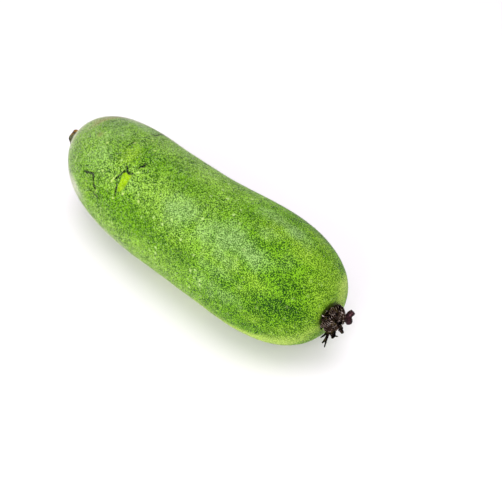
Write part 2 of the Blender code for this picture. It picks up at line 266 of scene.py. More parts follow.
CURLED_TIPS = (
    ((3.4, 4.4, 3.0), ((3.5, -1.5, -3.5), (5.0, -2.3, -6.2), (6.2, -3.0, -8.2), (7.2, -3.0, -7.4))),
    ((3.0, 3.0, 1.5), ((4.5, 1.0, -3.0), (6.8, 1.4, -5.6), (8.2, 1.8, -7.9))),
)
FIBRES = (
    ((2.0, -2.0, -4.0), (2.6, -4.4, -7.4), (1.6, -8.0, -9.8)),
    ((3.0, -1.6, -4.0), (3.4, -4.6, -8.6), (3.5, -6.5, -16.6)),
    ((3.1, -3.6, -7.2), (3.6, -6.2, -10.4), (3.4, -8.6, -12.0)),
)
FIBRE_RADII, FIBRE_GRAIN_SIZE = (0.9, 0.75, 0.3), 0.7
STYLE_COLUMN, STYLE_RADII = ((4.6, 2.6, 0.6), (7.6, 4.2, 1.2)), (1.2, 1.2)
STYLE_LOBES = (
    ((7.1, 3.9, 1.1), (7.9, 5.4, 2.8), (8.6, 7.1, 4.5)),
    ((7.2, 4.3, 1.6), (8.3, 4.5, 0.0), (9.0, 4.6, -1.9)),
    ((7.2, 4.5, 1.1), (8.1, 3.1, 1.6), (8.9, 1.8, 2.1)),
)
STYLE_LOBE_RADII = ((1.3, 1.7, 1.5), (1.5, 2.15, 1.5), (0.9, 1.3, 0.7))
STRIPE_FACING = (0.57, -0.50, 0.65)  # the side of the lobes with the mauve stripe

# Wrinkles of the dried blades: main crests that wander, finer ones between them, ragged edges
CREST_SHARPNESS, CREST_DEPTH, CREST_WANDER, CREST_WAVES = 0.7, 1.6, 1.4, 5
FINE_CRESTS, FINE_CREST_DEPTH = 2.3, 0.25
RAGGED_EDGE = ((0.10, 17, 3), (0.07, 41, 1))  # share of the width, rate and phase
WRINKLE_PHASE, WRINKLE_DRIFT = (0, 6.28), (-1.5, 1.5)
FULLY_WRINKLED_WIDTH, EDGE_THINNING = 5 * MM, 0.6
BLADE_LUMP, BLADE_LUMP_SIZE = 0.35, 1.1 * MM  # the height as a share of the wrinkles' depth

# Colours, as linear red, green and blue. Pairs run from the dark to the light of a pattern.
# The greens of the mottle: bare of wax, under fine wax, and on the patches
BARE_GREENS = (0.008, 0.050, 0.0002), (0.176, 0.395, 0.010)
VEILED_GREENS = (0.011, 0.058, 0.002), (0.325, 0.56, 0.066)
PATCH_GREENS = {
    "pale": ((0.080, 0.185, 0.005), (0.33, 0.53, 0.045)),
    "dark": ((0.006, 0.038, 0.0004), (0.125, 0.30, 0.010)),
    "bloom": ((0.062, 0.136, 0.022), (0.30, 0.49, 0.140)),
    # the yellowish ground spot, also used for painted bounce light on the lower edge
    "ground_spot_and_bounce_light": ((0.19, 0.32, 0.030), (0.48, 0.64, 0.120)),
}
# How uneven the edges of each tint are
PATCH_RAGGEDNESS = {
    "veil": 0.9, "pale": 0.9, "dark": 0.9, "bloom": 0.9, "ground_spot_and_bounce_light": 0.9, "tan": 1.2, "frost_and_rim_sheen": 0.5,
}
# the first is the white of the wax, also used for the painted rim sheen
FROST_AND_RIM_SHEEN_WHITE, TAN = (0.65, 0.62, 0.54), (0.24, 0.20, 0.06)
SPECK, SPOT = (0.46, 0.63, 0.20), (0.46, 0.58, 0.16)
SCRATCH, SCRATCH_SIDE = (0.002, 0.005, 0.001), (0.06, 0.15, 0.004)
# the scrape's flesh, and the dark at its torn edge: the edge's own green and painted shade under
# its curled lip
FLESH, SCRAPE_EDGE_AND_SHADE = ((0.17, 0.31, 0.003), (0.30, 0.49, 0.007)), (0.04, 0.11, 0.006)
# the dark of the scar round the flower, which also stands for painted contact shade there
SCAR_AND_CONTACT_SHADE = (0.020, 0.024, 0.004)
CORK_BROWNS = (0.010, 0.005, 0.002), (0.30, 0.14, 0.022)
CORK_OLIVES = (0.010, 0.010, 0.004), (0.12, 0.13, 0.055)
COLLAR_GREENS = (0.09, 0.15, 0.03), (0.26, 0.30, 0.09)
PITH = (0.13, 0.075, 0.030), (0.42, 0.27, 0.12)
# the dark end is painted shade in the valleys of the wrinkles, the light end the brown of the
# crests
PETAL_BROWNS = (0.0006, 0.0003, 0.0003), (0.140, 0.084, 0.054)
PETAL_RED, PETAL_OLIVE = (0.006, 0.0015, 0.002), (0.13, 0.10, 0.020)
# painted highlights on the highest crests of the dried petals
PETAL_HIGHLIGHT = (0.56, 0.49, 0.47)
LOBE_REDS, LOBE_STRIPE = ((0.003, 0.0008, 0.0011), (0.028, 0.005, 0.008)), (0.20, 0.075, 0.10)
FLOOR_WHITES = (0.895, 0.85, 0.905), (0.905, 0.86, 0.915)

# Setting
FLOOR_REACH = 3.0
WORLD_STRENGTH = 0.9
# Lamps: name, place, width in metres and power in watts
LIGHTS = (("overhead", (0.1, 0.0, 0.9), 0.7, 3), ("front", (0.3, -0.95, 0.45), 0.8, 8))
CAMERA_PLACE = np.array([0.2739, -0.1945, 0.2909])  # from the ground under the fruit's middle
CAMERA_TILT, CAMERA_TURN, CAMERA_LENS, CAMERA_SENSOR = 49.5, 48.74, 49.34, 36


# Shapes

def end_share(distance, end):
    """The radius at this distance from an end, as a share of the greatest."""
    t = np.clip(distance / end.length, 0, 1)
    return (1 - (1 - t) ** end.fall) ** (1 / end.bluntness)


def scar_distance(end):
    """How far from the end the fruit is as wide as the scar there."""
    share = end.scar_radius / GREATEST_RADIUS
    return end.length * (1 - (1 - share**end.bluntness) ** (1 / end.fall))


FIRST_SHARE = scar_distance(FLOWER_END) / LENGTH
LAST_SHARE = 1 - scar_distance(STEM_END) / LENGTH


def fruit_radius(u):
    """The fruit's radius at this share of its length."""
    waist = 1 - WAIST_DEPTH * np.exp(-(((u - WAIST_AT) / WAIST_REACH) ** 2))
    ends = end_share(u * LENGTH, FLOWER_END) * end_share((1 - u) * LENGTH, STEM_END)
    return GREATEST_RADIUS * ends * waist


def fruit_centre(u):
    """The middle of the fruit at this share of its length."""
    u = np.asarray(u, float)
    height = np.full_like(u, GREATEST_RADIUS - RESTING_SPOT_DEPTH)
    return np.stack([(0.5 - u) * LENGTH, -BEND * np.sin(np.pi * u**BEND_SKEW), height], -1)


def unit(vectors):
    return vectors / np.linalg.norm(vectors, axis=-1, keepdims=True)


def fruit_heading(u):
    """The direction of the centre line, from the flower end to the stem end."""
    u = np.asarray(u, float)
    turn = np.pi * BEND_SKEW * u ** (BEND_SKEW - 1) * np.cos(np.pi * u**BEND_SKEW)
    return unit(np.stack([np.full_like(u, -LENGTH), -BEND * turn, np.zeros_like(u)], -1))


def on_fruit(u, degrees):
    """Points of the smooth skin, and the directions straight out of it."""
    u, angle = np.broadcast_arrays(np.asarray(u, float), np.radians(degrees))
    heading = fruit_heading(u)
    side = np.cross(heading, UP)
    out = np.cos(angle)[..., None] * side + np.sin(angle)[..., None] * UP
    small = 1e-4
    slope = (fruit_radius(u + small) - fruit_radius(u - small)) / (2 * small * LENGTH)
    normal = unit(out - slope[..., None] * heading)
    return fruit_centre(u) + fruit_radius(u)[..., None] * out, normal


def frame_shift():
    """From the fruit's own axes to the frame's, which are centred under the whole object."""
    low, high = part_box("fruit")
    u, degrees = np.meshgrid(np.linspace(FIRST_SHARE, LAST_SHARE, 500), np.arange(0, 360, 3))
    points = on_fruit(u, degrees)[0].reshape(-1, 3)
    shift = (np.array(low) + np.array(high)) / 2 - (points.min(0) + points.max(0)) / 2
    shift[2] = 0
    return shift


def noise_at(points, size, seed=0.0):
    """Smooth noise from -1 to 1, with bumps of about this size."""
    flat = (points.reshape(-1, 3) / size + seed).tolist()
    return np.array([noise.noise(p) for p in flat]).reshape(points.shape[:-1])


def window(x, start, end, fade):
    """1 between start and end, falling to 0 over the fade outside them."""
    inside = np.minimum(x - start, end - x) / fade + 1
    t = np.clip(inside, 0, 1)
    return t * t * (3 - 2 * t)


def crowded(places, steps, stretch, fade, count):
    """As many of the places as count, closer together over the marked stretch."""
    middle = (places[1:] + places[:-1]) / 2
    crowding = 1 + (MARKED_CROWDING - 1) * window(middle, *stretch, fade)
    travelled = np.concatenate([[0], np.cumsum(steps * crowding)])
    return np.interp(np.linspace(0, travelled[-1], count), travelled, places)


def skin_shares():
    rise = (1 - np.cos(np.linspace(0, np.pi, 4001))) / 2
    fine = FIRST_SHARE + (LAST_SHARE - FIRST_SHARE) * rise
    steps = np.hypot(np.diff(fine) * LENGTH, np.diff(fruit_radius(fine)))
    return crowded(fine, steps, MARKED_SHARES, MARKED_FADE, SKIN_RINGS)


def skin_angles():
    fine = np.linspace(0, 360, 3601)
    return crowded(fine, np.diff(fine), MARKED_ANGLES, 360 * MARKED_FADE, SKIN_SIDES + 1)[:-1]


def patch_cover(u, degrees, patches):
    """How strongly soft oval patches cover each place."""
    cover = np.zeros(np.broadcast(u, degrees).shape)
    for share, angle, half_length, half_width, strength in patches:
        along = (u - share) * LENGTH / (half_length * MM)
        turn = np.radians((degrees - angle + 180) % 360 - 180)
        across = turn * fruit_radius(np.asarray(u)) / (half_width * MM)
        cover = np.maximum(cover, strength * np.exp(-(along**2 + across**2) / PATCH_SPREAD))
    return cover


def flat_places(u, degrees):
    """Places near the marks in millimetres on a flat map: along the fruit, and round it."""
    return np.stack([u * LENGTH, np.radians(degrees) * fruit_radius(u)], -1) / MM


def flat_line(line):
    return np.array([flat_places(np.array(u), np.array(degrees)) for u, degrees in line])


def distance_to_lines(flat, lines):
    """The distance in millimetres to the nearest of these lines, at most MARK_REACH."""
    nearest = np.full(flat.shape[:-1], MARK_REACH)
    for line in lines:
        places = flat_line(line)
        for start, end in zip(places, places[1:]):
            step = end - start
            t = np.clip(((flat - start) @ step) / max(step @ step, 1e-9), 0, 1)
            gap = np.linalg.norm(flat - start - t[..., None] * step, axis=-1)
            nearest = np.minimum(nearest, gap)
    return nearest


def inside_outline(flat, outline):
    """Which places lie inside a closed outline."""
    places = flat_line(outline)
    inside = np.zeros(flat.shape[:-1], bool)
    x, y = flat[..., 0], flat[..., 1]
    for (x0, y0), (x1, y1) in zip(places, np.roll(places, -1, axis=0)):
        if y0 == y1:
            continue
        crosses = (y0 > y) != (y1 > y)
        inside ^= crosses & (x < x0 + (x1 - x0) * (y - y0) / (y1 - y0))
    return inside


def scrape_depth_inside(flat):
    """Millimetres inside the scrape's outline, negative outside it."""
    edge = distance_to_lines(flat, (SCRAPE + SCRAPE[:1],))
    return np.where(inside_outline(flat, SCRAPE), edge, -edge)


def lump_height(points):
    """Millimetres that the broad lumps stand out of the smooth fruit."""
    height = 0
    for k, (tall, size) in enumerate(LUMPS):
        height = height + tall * noise_at(points, size * MM, seed=LUMP_SEED * k)
    return height


def swell(distance, height, place, width):
    """A rounded rise of this height and width, its crest at this place from a mark."""
    return height * np.exp(-(((distance - place) / width) ** 2))


def skin_relief(points, u, degrees, scrape, scratch):
    """Millimetres that the skin stands out of the smooth fruit."""
    height = lump_height(points)
    for share in (FIRST_SHARE, LAST_SHARE):
        far = abs(u - share) * LENGTH / MM + (fruit_radius(u) - fruit_radius(share)) / MM
        fade = np.exp(-((far / PUCKER_REACH) ** 2))
        height += PUCKER_HEIGHT * fade * (np.cos(PUCKERS * np.radians(degrees)) - PUCKER_SINK)
        height -= height * PUCKER_SMOOTHING * fade
    height -= SCRAPE_DEPTH * np.clip(scrape, 0, 1) ** SCRAPE_STEEPNESS
    height += swell(scrape, *SCRAPE_LIP)
    height -= swell(scratch, SCRATCH_DEPTH, 0, SCRATCH_WIDTH)
    height += swell(scratch, *SCRATCH_LIP)
    return height


def make_object(name, points, faces, surface):
    mesh = bpy.data.meshes.new(name)
    mesh.from_pydata(np.asarray(points).tolist(), [], faces)
    mesh.validate()
    mesh.shade_smooth()
    mesh.materials.append(surface)
    obj = bpy.data.objects.new(name, mesh)
    bpy.context.scene.collection.objects.link(obj)
    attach(obj, "root")
    return obj


def set_attribute(obj, name, values, ends=()):
    """One value for each point of the rings, then those of the middles of both ends."""
    everything = np.concatenate([np.ravel(values), ends])
    layer = obj.data.attributes.new(name, "FLOAT", "POINT")
    layer.data.foreach_set("value", everything.astype(np.float32))


def with_ends(rings):
    """The points of all rings in one list, then the middles of the first and the last ring."""
    return np.concatenate([rings.reshape(-1, 3), [rings[0].mean(0), rings[-1].mean(0)]])


def loft_faces(rings, sides):
    """Quads between rings of points, and a fan over each end, whose middle points come last."""
    faces = []
    for i in range(rings - 1):
        a, b = i * sides, (i + 1) * sides
        for j in range(sides):
            k = (j + 1) % sides
            faces.append((a + j, a + k, b + k, b + j))
    first, last, end = rings * sides, rings * sides + 1, (rings - 1) * sides
    for j in range(sides):
        k = (j + 1) % sides
        faces.append((first, k, j))
        faces.append((last, end + j, end + k))
    return faces


def skin_tints(u, degrees, points):
    """How strongly each tint of the skin covers each point, as values from 0 to 1."""
    def cover(patches):
        return patch_cover(u, degrees, patches)

    from_flower, from_stem = (
        np.linalg.norm(points - points[end].mean(0), axis=-1) / MM for end in (0, -1)
    )
    # a paler ring round the flower, partly painted light over the petals' shade
    ring = PALE_RING * np.exp(-((from_flower / PALE_RING_REACH) ** 2))
    return {
        "veil": np.interp(u, *zip(*VEIL)) * (1 - cover(CLEAR_PATCHES)),
        # the wax near the stem, and painted rim sheen in the patches along the edges
        "frost_and_rim_sheen": np.maximum(cover(FROST_AND_RIM_SHEEN_PATCHES), np.interp(from_stem, FROST_REACH, (1, 0))),
        "bloom": cover(BLOOM_PATCHES),
        "dark": cover(DARK_PATCHES),
        # the ground spot, and painted bounce light along the lower edge
        "ground_spot_and_bounce_light": cover(GROUND_SPOT_AND_BOUNCE_LIGHT_PATCHES),
        "pale": np.maximum(cover(PALE_PATCHES), ring),
        "tan": cover(TAN_PATCHES),
        # a dark ring round the flower: its scar, and painted contact shade
        "scar": np.interp(from_flower, SCAR_AND_SHADE_REACH, (1, 0)),
    }


def make_skin(shift, surface):
    u, degrees = np.meshgrid(skin_shares(), skin_angles(), indexing="ij")
    points, normals = on_fruit(u, degrees)
    flat = flat_places(u, degrees)
    faint = distance_to_lines(flat, FAINT_SCRATCHES) + FAINTNESS
    marks = {
        "scrape": scrape_depth_inside(flat),
        "scratch": np.minimum(distance_to_lines(flat, SCRATCHES), faint),
        "spot": distance_to_lines(flat, [(place, place) for place in PALE_SPOTS]),
    }
    height = skin_relief(points, u, degrees, marks["scrape"], marks["scratch"])
    points = points + normals * height[..., None] * MM
    points[..., 2] = np.maximum(points[..., 2], 0)
    faces = [face[::-1] for face in loft_faces(*u.shape)]
    skin = make_object("skin", with_ends(points) + shift, faces, surface)
    for name, values in {**marks, **skin_tints(u, degrees, points)}.items():
        set_attribute(skin, name, values, values[[0, -1], 0])
    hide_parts("fruit")


def hair_places(down, draw):
    """The hairs' shares of the length, the smooth skin's points there, and the ways out of it."""
    fine = np.linspace(FIRST_SHARE, LAST_SHARE, 2000)
    density = np.interp(fine, *zip(*down.density))
    weight = np.cumsum((fruit_radius(fine) + END_HAIR_WEIGHT) * density)
    u = np.interp(draw.uniform(0, weight[-1], down.hairs), weight, fine)
    degrees = draw.uniform(0, 360, down.hairs)
    points, normals = on_fruit(u, degrees)
    keep = points[:, 2] > BARE_HEIGHT
    return u[keep], points[keep], normals[keep]


def make_down(shift, surface, down):
    """Hairs as thin three-sided spikes, mostly leaning towards the flower end."""
    draw = np.random.default_rng(down.seed)
    u, points, normals = hair_places(down, draw)
    count = len(u)
    lean = unit(draw.normal(size=(count, 3))) * HAIR_SPREAD - fruit_heading(u) * HAIR_LEAN
    heading = unit(normals + lean)
    length = draw.uniform(*HAIR_LENGTHS, count) * MM
    across = unit(np.cross(heading, draw.normal(size=(count, 3))))
    beside = np.cross(heading, across)
    root = points + normals * (lump_height(points) - HAIR_ROOT)[:, None] * MM
    spikes = np.empty((count, 4, 3))
    for k in range(3):
        turn = 2 * math.pi * k / 3
        out = math.cos(turn) * across + math.sin(turn) * beside
        spikes[:, k] = root + out * HAIR_RADIUS * MM
    spikes[:, 3] = root + heading * length[:, None]
    spikes[..., 2] = np.maximum(spikes[..., 2], 0)
    base = 4 * np.arange(count)[:, None]
    corners = np.array([(0, 1, 3), (1, 2, 3), (2, 0, 3), (2, 1, 0)])
    faces = (base[:, None] + corners[None]).reshape(-1, 3).tolist()
    hairs = make_object(down.name, spikes.reshape(-1, 3) + shift, faces, surface)


def smooth_path(points, count):
    """Points along a smooth curve through the given ones, and its directions."""
    points = np.asarray(points, float)
    ends = np.concatenate([[2 * points[0] - points[1]], points, [2 * points[-1] - points[-2]]])
    spans = len(points) - 1
    place = np.linspace(0, spans, count)
    k = np.minimum(place.astype(int), spans - 1)
    t = (place - k)[:, None]
    a, b, c, d = (ends[k + i] for i in range(4))
    bend, twist = 2 * a - 5 * b + 4 * c - d, 3 * b - a - 3 * c + d
    curve = (2 * b + (c - a) * t + bend * t**2 + twist * t**3) / 2
    return curve, unit((c - a) + 2 * bend * t + 3 * twist * t**2)


def along(values, shares):
    """The values, spread evenly from 0 to 1, read at these shares."""
    return np.interp(shares, np.linspace(0, 1, len(values)), values)


def tube(centres, headings, radii, sides, roughness, grain, ridge=None, seed=0.0):
    """Rings round a line of centres, with noise and an optional profile of ridges."""
    across = unit(np.cross(headings, UP))
    upright = np.cross(across, headings)
    angle = np.linspace(0, 2 * np.pi, sides, endpoint=False)
    reach = np.repeat(radii[:, None], sides, axis=1)
    if ridge is not None:
        reach = reach * ridge(angle)[None]
    out = np.cos(angle)[None, :, None] * across[:, None]
    out = out + np.sin(angle)[None, :, None] * upright[:, None]
    points = centres[:, None] + reach[..., None] * out
    return points + out * (roughness * noise_at(points, grain, seed))[..., None]


def stem_ridges(angle):
    """How far the stem's side reaches at an angle, as a share of its radius."""
    fine = sum(height * np.sin(count * angle + phase) for height, count, phase in STEM_FINE_RIDGES)
    return 1 + STEM_RIDGE_HEIGHT * np.cos(STEM_RIDGES * angle) + fine


def stem_side(share):
    """Rings of the stem's side from the fruit to the cut, and the direction it ends in."""
    heading = fruit_heading(1.0)
    base = fruit_centre(LAST_SHARE) - STEM_SINK * heading
    tip = fruit_centre(1.0) + STEM_REACH
    middle = (base + tip) / 2 + STEM_BOW * heading
    centres, headings = smooth_path((base, middle, tip), STEM_RINGS)
    turned = unit(heading + (headings[-1] - heading) * share[:, None])
    flare = 1 + STEM_FLARE * np.exp(-share / STEM_FLARE_REACH)
    radii = along(STEM_RADII, share) * MM * flare
    lumps = (STEM_LUMP, STEM_LUMP_SIZE)
    rings = tube(centres, turned, radii, STEM_SIDES, *lumps, stem_ridges, STEM_LUMP_SEED)
    grain = STEM_GRAIN * noise_at(rings, STEM_GRAIN_SIZE, STEM_GRAIN_SEED)
    rings += (rings - centres[:, None]) * grain[..., None]
    upright = (rings[..., 2] - centres[:, None, 2]) / radii[:, None]
    slant = STEM_CUT_SLANT * MM * share[:, None] ** 3 * upright
    return rings - slant[..., None] * headings[-1], headings[-1]


def stem_cut(rim, heading):
    """Rings of the dished, rippled cut, from just inside its rim to near its middle."""
    middle = rim.mean(0)
    rings = []
    for i in range(1, STEM_CUT_RINGS + 1):
        inward = i / (STEM_CUT_RINGS + 0.5)
        ring = middle + (rim - middle) * (1 - inward)
        dish = STEM_DISH_DEPTH * (1 - (1 - min(1, inward * STEM_DISH_SLOPE)) ** 2)
        ripple = STEM_RIPPLE * math.sin(inward * STEM_RIPPLES)
        rough = STEM_CUT_LUMP * noise_at(ring, STEM_CUT_LUMP_SIZE, STEM_CUT_SEED)
        rough = rough * min(1, inward * 3)
        rings.append(ring - heading * ((dish - ripple + rough) * MM)[:, None])
    return np.array(rings)


def make_stem(shift, surface):
    share = np.linspace(0, 1, STEM_RINGS)
    side, heading = stem_side(share)
    rings = np.concatenate([side, stem_cut(side[-1], heading)])
    faces = loft_faces(len(rings), STEM_SIDES)
    stem = make_object("cut_stem", with_ends(rings) + shift, faces, surface)
    edge = np.clip((share - STEM_EDGE_AT) / STEM_EDGE_WIDTH, 0, 1) * STEM_EDGE_CUT
    cut = np.concatenate([edge, np.linspace(STEM_EDGE_CUT, 1, STEM_CUT_RINGS)])
    set_attribute(stem, "cut", np.repeat(cut, STEM_SIDES), (0, 1))
    collar = np.exp(-np.arange(len(rings)) / STEM_COLLAR_RINGS)
    set_attribute(stem, "collar", np.repeat(collar, STEM_SIDES), (1, 0))
    sideways = (rings - rings.mean(1, keepdims=True)) @ STEM_OLIVE_SIDE
    under = np.clip(0.5 + 0.5 * sideways / STEM_OLIVE_REACH, 0, 1)
    set_attribute(stem, "under", under, (0.5, 0.5))
    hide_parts("stem")


def polar(out, radius, angle):
    """A place this far out of the scar, and this far from the flower's middle line."""
    return (out, radius * math.cos(angle), radius * math.sin(angle))


def flower_origin():
    """The middle of the scar that the flower grows from."""
    return fruit_centre(FIRST_SHARE)


def blade_crests(s, t, wrinkles, phase, drift):
    """How far each point of a blade is a crest: s runs across the blade, t along it."""
    wander = CREST_WANDER * np.sin(CREST_WAVES * t + phase)
    wave = np.sin(2 * np.pi * wrinkles * s + phase + drift * t + wander)
    fine = np.sin(2 * np.pi * (FINE_CRESTS * wrinkles) * s - 2 * phase + 3 * drift * t)
    return 1 - np.abs(wave) ** CREST_SHARPNESS * CREST_DEPTH + FINE_CREST_DEPTH * fine


def blade(places, kind, draw):
    """A thin wrinkled strip along a path, as rings round it, with how far each point is a crest."""
    centres, headings = smooth_path(np.asarray(places) * MM, kind.rows)
    across = np.cross(np.array([1.0, 0, 0]), centres)
    across = unit(across - (across * headings).sum(-1, keepdims=True) * headings)
    normal = np.cross(across, headings)
    t = np.linspace(0, 1, kind.rows)[:, None]
    s = np.linspace(-0.5, 0.5, kind.columns)[None]
    width = along(kind.widths, t[:, 0])[:, None] * MM
    phase, drift = draw.uniform(*WRINKLE_PHASE), draw.uniform(*WRINKLE_DRIFT)
    crest = blade_crests(s, t, kind.wrinkles, phase, drift)
    ragged = sum((size * np.sin(rate * t + turn * phase) for size, rate, turn in RAGGED_EDGE), 1)
    flat = centres[:, None] + across[:, None] * (width * ragged * s)[..., None]
    wrinkled = kind.depth * MM * crest * np.minimum(1, width / FULLY_WRINKLED_WIDTH)
    lumpy = BLADE_LUMP * kind.depth * MM * noise_at(flat, BLADE_LUMP_SIZE, phase)
    height = wrinkled + kind.curl * MM * (4 * s**2) + lumpy
    middle = flat + normal[:, None] * height[..., None]
    thinning = (1 - EDGE_THINNING * (2 * s) ** 4)[..., None]
    half = kind.thickness * MM / 2 * thinning * normal[:, None]
    rings = np.concatenate([middle + half, (middle - half)[:, ::-1]], axis=1)
    crests = np.concatenate([crest, crest[:, ::-1]], axis=1)
    return rings, np.clip(0.5 + 0.5 * crests, 0, 1)


def petal_path(index, draw):
    """A petal folded in over the wad: up from its foot, bulging out and back to the middle."""
    angle = 2 * math.pi * index / PETALS + PETAL_TURN
    sway, bulge, top = (draw.uniform(*limits) for limits in (PETAL_SWAY, PETAL_BULGE, PETAL_TOP))
    return (
        polar(*PETAL_FOOT, angle),
        polar(2.3, bulge, angle + sway * 0.3),
        polar(4.6, bulge - 0.8, angle + sway),
        polar(top, 3.6, angle + sway * 1.5),
        polar(top, 2.0, angle + sway * 2),
    )


def sepal_path(index, draw):
    """A short sepal spread out over the skin round the wad."""
    angle = 2 * math.pi * (index + 0.5) / SEPALS + SEPAL_TURN
    reach = draw.uniform(*SEPAL_REACH)
    return polar(1.6, 4.0, angle), polar(1.3, 6.8, angle + 0.05), polar(1.8, reach, angle + 0.15)


def strand_path(draw):
    """A shred of petal lying over the wad, from its foot to near its top."""
    angle, lift = draw.uniform(0, 2 * math.pi), draw.uniform(*STRAND_LIFT)
    twist, top = draw.uniform(*STRAND_TWIST), draw.uniform(*STRAND_TOP)
    return (
        polar(0.9, 4.6 * lift, angle),
        polar(2.4, 7.1 * lift, angle + 0.3 * twist),
        polar(4.4, 6.6 * lift, angle + 0.7 * twist),
        polar(top, 4.2 * lift, angle + twist),
        polar(top + 0.2, 2.2, angle + 1.4 * twist),
    )


def wad_part():
    """The lumpy dome in the middle, wrinkled along its length."""
    share = np.linspace(0, 1, WAD_ROWS)[:, None]
    angle = np.linspace(0, 2 * np.pi, WAD_COLUMNS, endpoint=False)[None]
    lump = 1 + sum(height * np.sin(count * angle) for count, height in WAD_LUMPS)
    crest = sum(
        height * np.sin(count * angle + twist * share) for height, count, twist in WAD_WRINKLES
    )
    radius = WAD_RADIUS * (1 - WAD_TAPER * share**2) * lump + WAD_WRINKLE_DEPTH * crest
    out = -WAD_SINK + (WAD_LENGTH + WAD_SINK) * share + 0 * angle
    rings = np.stack([out, radius * np.cos(angle), radius * np.sin(angle)], -1) * MM
    rings += (WAD_GRAIN * noise_at(rings, WAD_GRAIN_SIZE, WAD_SEED))[..., None] * unit(rings)
    return rings, np.clip(0.5 + 0.5 * crest, 0, 1)


def fibre_part(path, radii, rows=40, sides=14, roughness=0.12):
    """A rough round fibre along a path, with how far each point is a crest."""
    centres, headings = smooth_path(np.asarray(path) * MM, rows)
    share = np.linspace(0, 1, rows)
    thickness = along(radii, share) * MM
    rings = tube(centres, headings, thickness, sides, roughness * MM, FIBRE_GRAIN_SIZE * MM)
    angle = np.linspace(0, 2 * np.pi, sides, endpoint=False)[None]
    return rings, 0.3 + 0.3 * np.sin(3 * angle + 4 * share[:, None])


def join_rings(parts):
    """One list of points and faces, and one of values, for several lofted parts."""
    points, faces, values = [], [], []
    offset = 0
    for rings, crests in parts:
        points.append(with_ends(rings))
        values.append(np.concatenate([crests.ravel(), crests[[0, -1], 0]]))
        faces += [tuple(offset + v for v in face) for face in loft_faces(*rings.shape[:2])]
        offset += len(points[-1])
    return np.concatenate(points), faces, np.concatenate(values)


def make_flower(shift, surface):
    draw = random.Random(FLOWER_SEED)
    petals = [petal_path(i, draw) for i in range(PETALS)]
    sepals = [sepal_path(i, draw) for i in range(SEPALS)]
    parts = [wad_part()]
    parts += [blade(path, PETAL, draw) for path in petals]
    parts += [blade(path, SEPAL, draw) for path in sepals]
    parts += [blade(strand_path(draw), STRAND, draw) for _ in range(STRANDS)]
    parts = [(rings + WAD_SHIFT, crests) for rings, crests in parts]
    for widths, path in CURLED_TIPS:
        parts.append(blade(path, Blade(widths, *CURLED_TIP), draw))
    parts += [fibre_part(path, FIBRE_RADII) for path in FIBRES]
    points, faces, crests = join_rings(parts)
    flower = make_object("dried_petals", points + flower_origin() + shift, faces, surface)
    set_attribute(flower, "crest", crests)
    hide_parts("dried_flower")


def make_style(shift, surface):
    parts = []
    for path, radii in zip((STYLE_COLUMN, *STYLE_LOBES), (STYLE_RADII, *STYLE_LOBE_RADII)):
        rings, _ = fibre_part(path, radii, rows=44, sides=40, roughness=0.28)
        out = unit(rings - rings.mean(1, keepdims=True))
        parts.append((rings, np.clip(out @ np.array(STRIPE_FACING), 0, 1)))
    points, faces, facing = join_rings(parts)
    style = make_object("dried_lobes", points + flower_origin() + shift, faces, surface)
    set_attribute(style, "facing", facing)
    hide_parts("dried_style")


# Materials

class Look:
    """A node material being built around one Principled shader."""

    def __init__(self, name, roughness, specular):
        self.material = bpy.data.materials.new(name)
        self.material.use_nodes = True
        self.tree = self.material.node_tree
        self.shader = self.tree.nodes["Principled BSDF"]
        self.shader.inputs["Roughness"].default_value = roughness
        self.shader.inputs["Specular IOR Level"].default_value = specular
        self.place = self.node("ShaderNodeTexCoord").outputs["Object"]

    def node(self, kind, inputs=None, **settings):
        made = self.tree.nodes.new(kind)
        for key, value in settings.items():
            setattr(made, key, value)
        for key, value in (inputs or {}).items():
            if isinstance(value, bpy.types.NodeSocket):
                self.tree.links.new(value, made.inputs[key])
            else:
                made.inputs[key].default_value = value
        return made

    def attribute(self, name):
        return self.node("ShaderNodeAttribute", attribute_name=name).outputs["Fac"]

    def noise(self, size, detail=2.0, roughness=0.5, distortion=0.0, stretch=None):
        """Noise with features of about this size in metres."""
        place = self.place
        if stretch is not None:
            place = self.node("ShaderNodeMapping", {"Vector": place, "Scale": stretch}).outputs[0]
        inputs = {
            "Vector": place, "Scale": 1 / size, "Detail": detail,
            "Roughness": roughness, "Distortion": distortion,
        }
        return self.node("ShaderNodeTexNoise", inputs).outputs["Fac"]

    def add(self, a, b):
        return self.node("ShaderNodeMath", {0: a, 1: b}, operation="ADD").outputs[0]

    def times(self, a, b):
        return self.node("ShaderNodeMath", {0: a, 1: b}, operation="MULTIPLY").outputs[0]

    def swing(self, value, amount):
        """A noise brought round zero, and made this strong."""
        return self.times(self.add(value, -0.5), amount)

    def fade(self, value, start, end, low=0.0, high=1.0):
        """low at start and high at end, smoothly between them."""
        inputs = {"Value": value, "From Min": start, "From Max": end, "To Min": low, "To Max": high}
        return self.node("ShaderNodeMapRange", inputs, interpolation_type="SMOOTHSTEP").outputs[0]

    def mix(self, share, a, b):
        colours = {0: share, 6: self.colour(a), 7: self.colour(b)}
        return self.node("ShaderNodeMix", colours, data_type="RGBA").outputs[2]

    @staticmethod
    def colour(value):
        return value if isinstance(value, bpy.types.NodeSocket) else (*value, 1.0)

    def finish(self, colour, bumps=()):
        """Links the colour and the bumps: (height, metres)."""
        self.tree.links.new(colour, self.shader.inputs["Base Color"])
        normal = None
        for height, distance in bumps:
            inputs = {"Height": height, "Distance": distance, "Strength": 1.0}
            if normal is not None:
                inputs["Normal"] = normal
            normal = self.node("ShaderNodeBump", inputs).outputs[0]
        if normal is not None:
            self.tree.links.new(normal, self.shader.inputs["Normal"])
        return self.material


